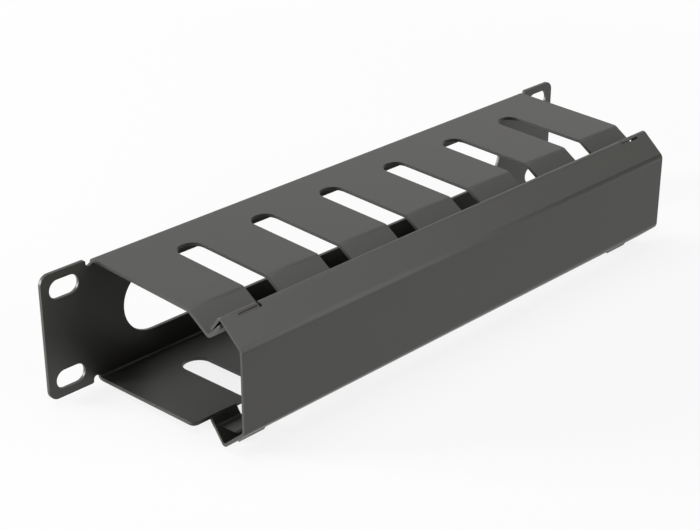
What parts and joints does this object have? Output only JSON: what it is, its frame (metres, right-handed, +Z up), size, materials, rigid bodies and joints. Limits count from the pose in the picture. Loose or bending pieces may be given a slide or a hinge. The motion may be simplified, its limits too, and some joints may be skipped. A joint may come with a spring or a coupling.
{
  "type": "horizontal cable manager",
  "caption": "Horizontal cable manager for a ten-inch rack: a folded tray with open cable slots, a rear window and slotted ears, and a cover that hooks on its fingers.",
  "frame": {"origin": "middle of the back web's rear face, which lies on the rack's rails, centred on the screw slots", "axes": "+X along the panel, +Z up, +Y into the rack, so the cover faces -Y"},
  "size_m": [0.254, 0.0699, 0.0454],
  "materials": {
    "powder_coated_steel": "fine matt powder coat, dark grey"
  },
  "bodies": {
    "tray": {"tray": "powder_coated_steel"},
    "cover": {"cover": "powder_coated_steel"}
  },
  "joints": [
    {"name": "cover_lift", "type": "slide", "parent": "tray", "child": "cover", "axis": [0, -0.5736, 0.8192], "range_m": [0, 0.06]}
  ]
}
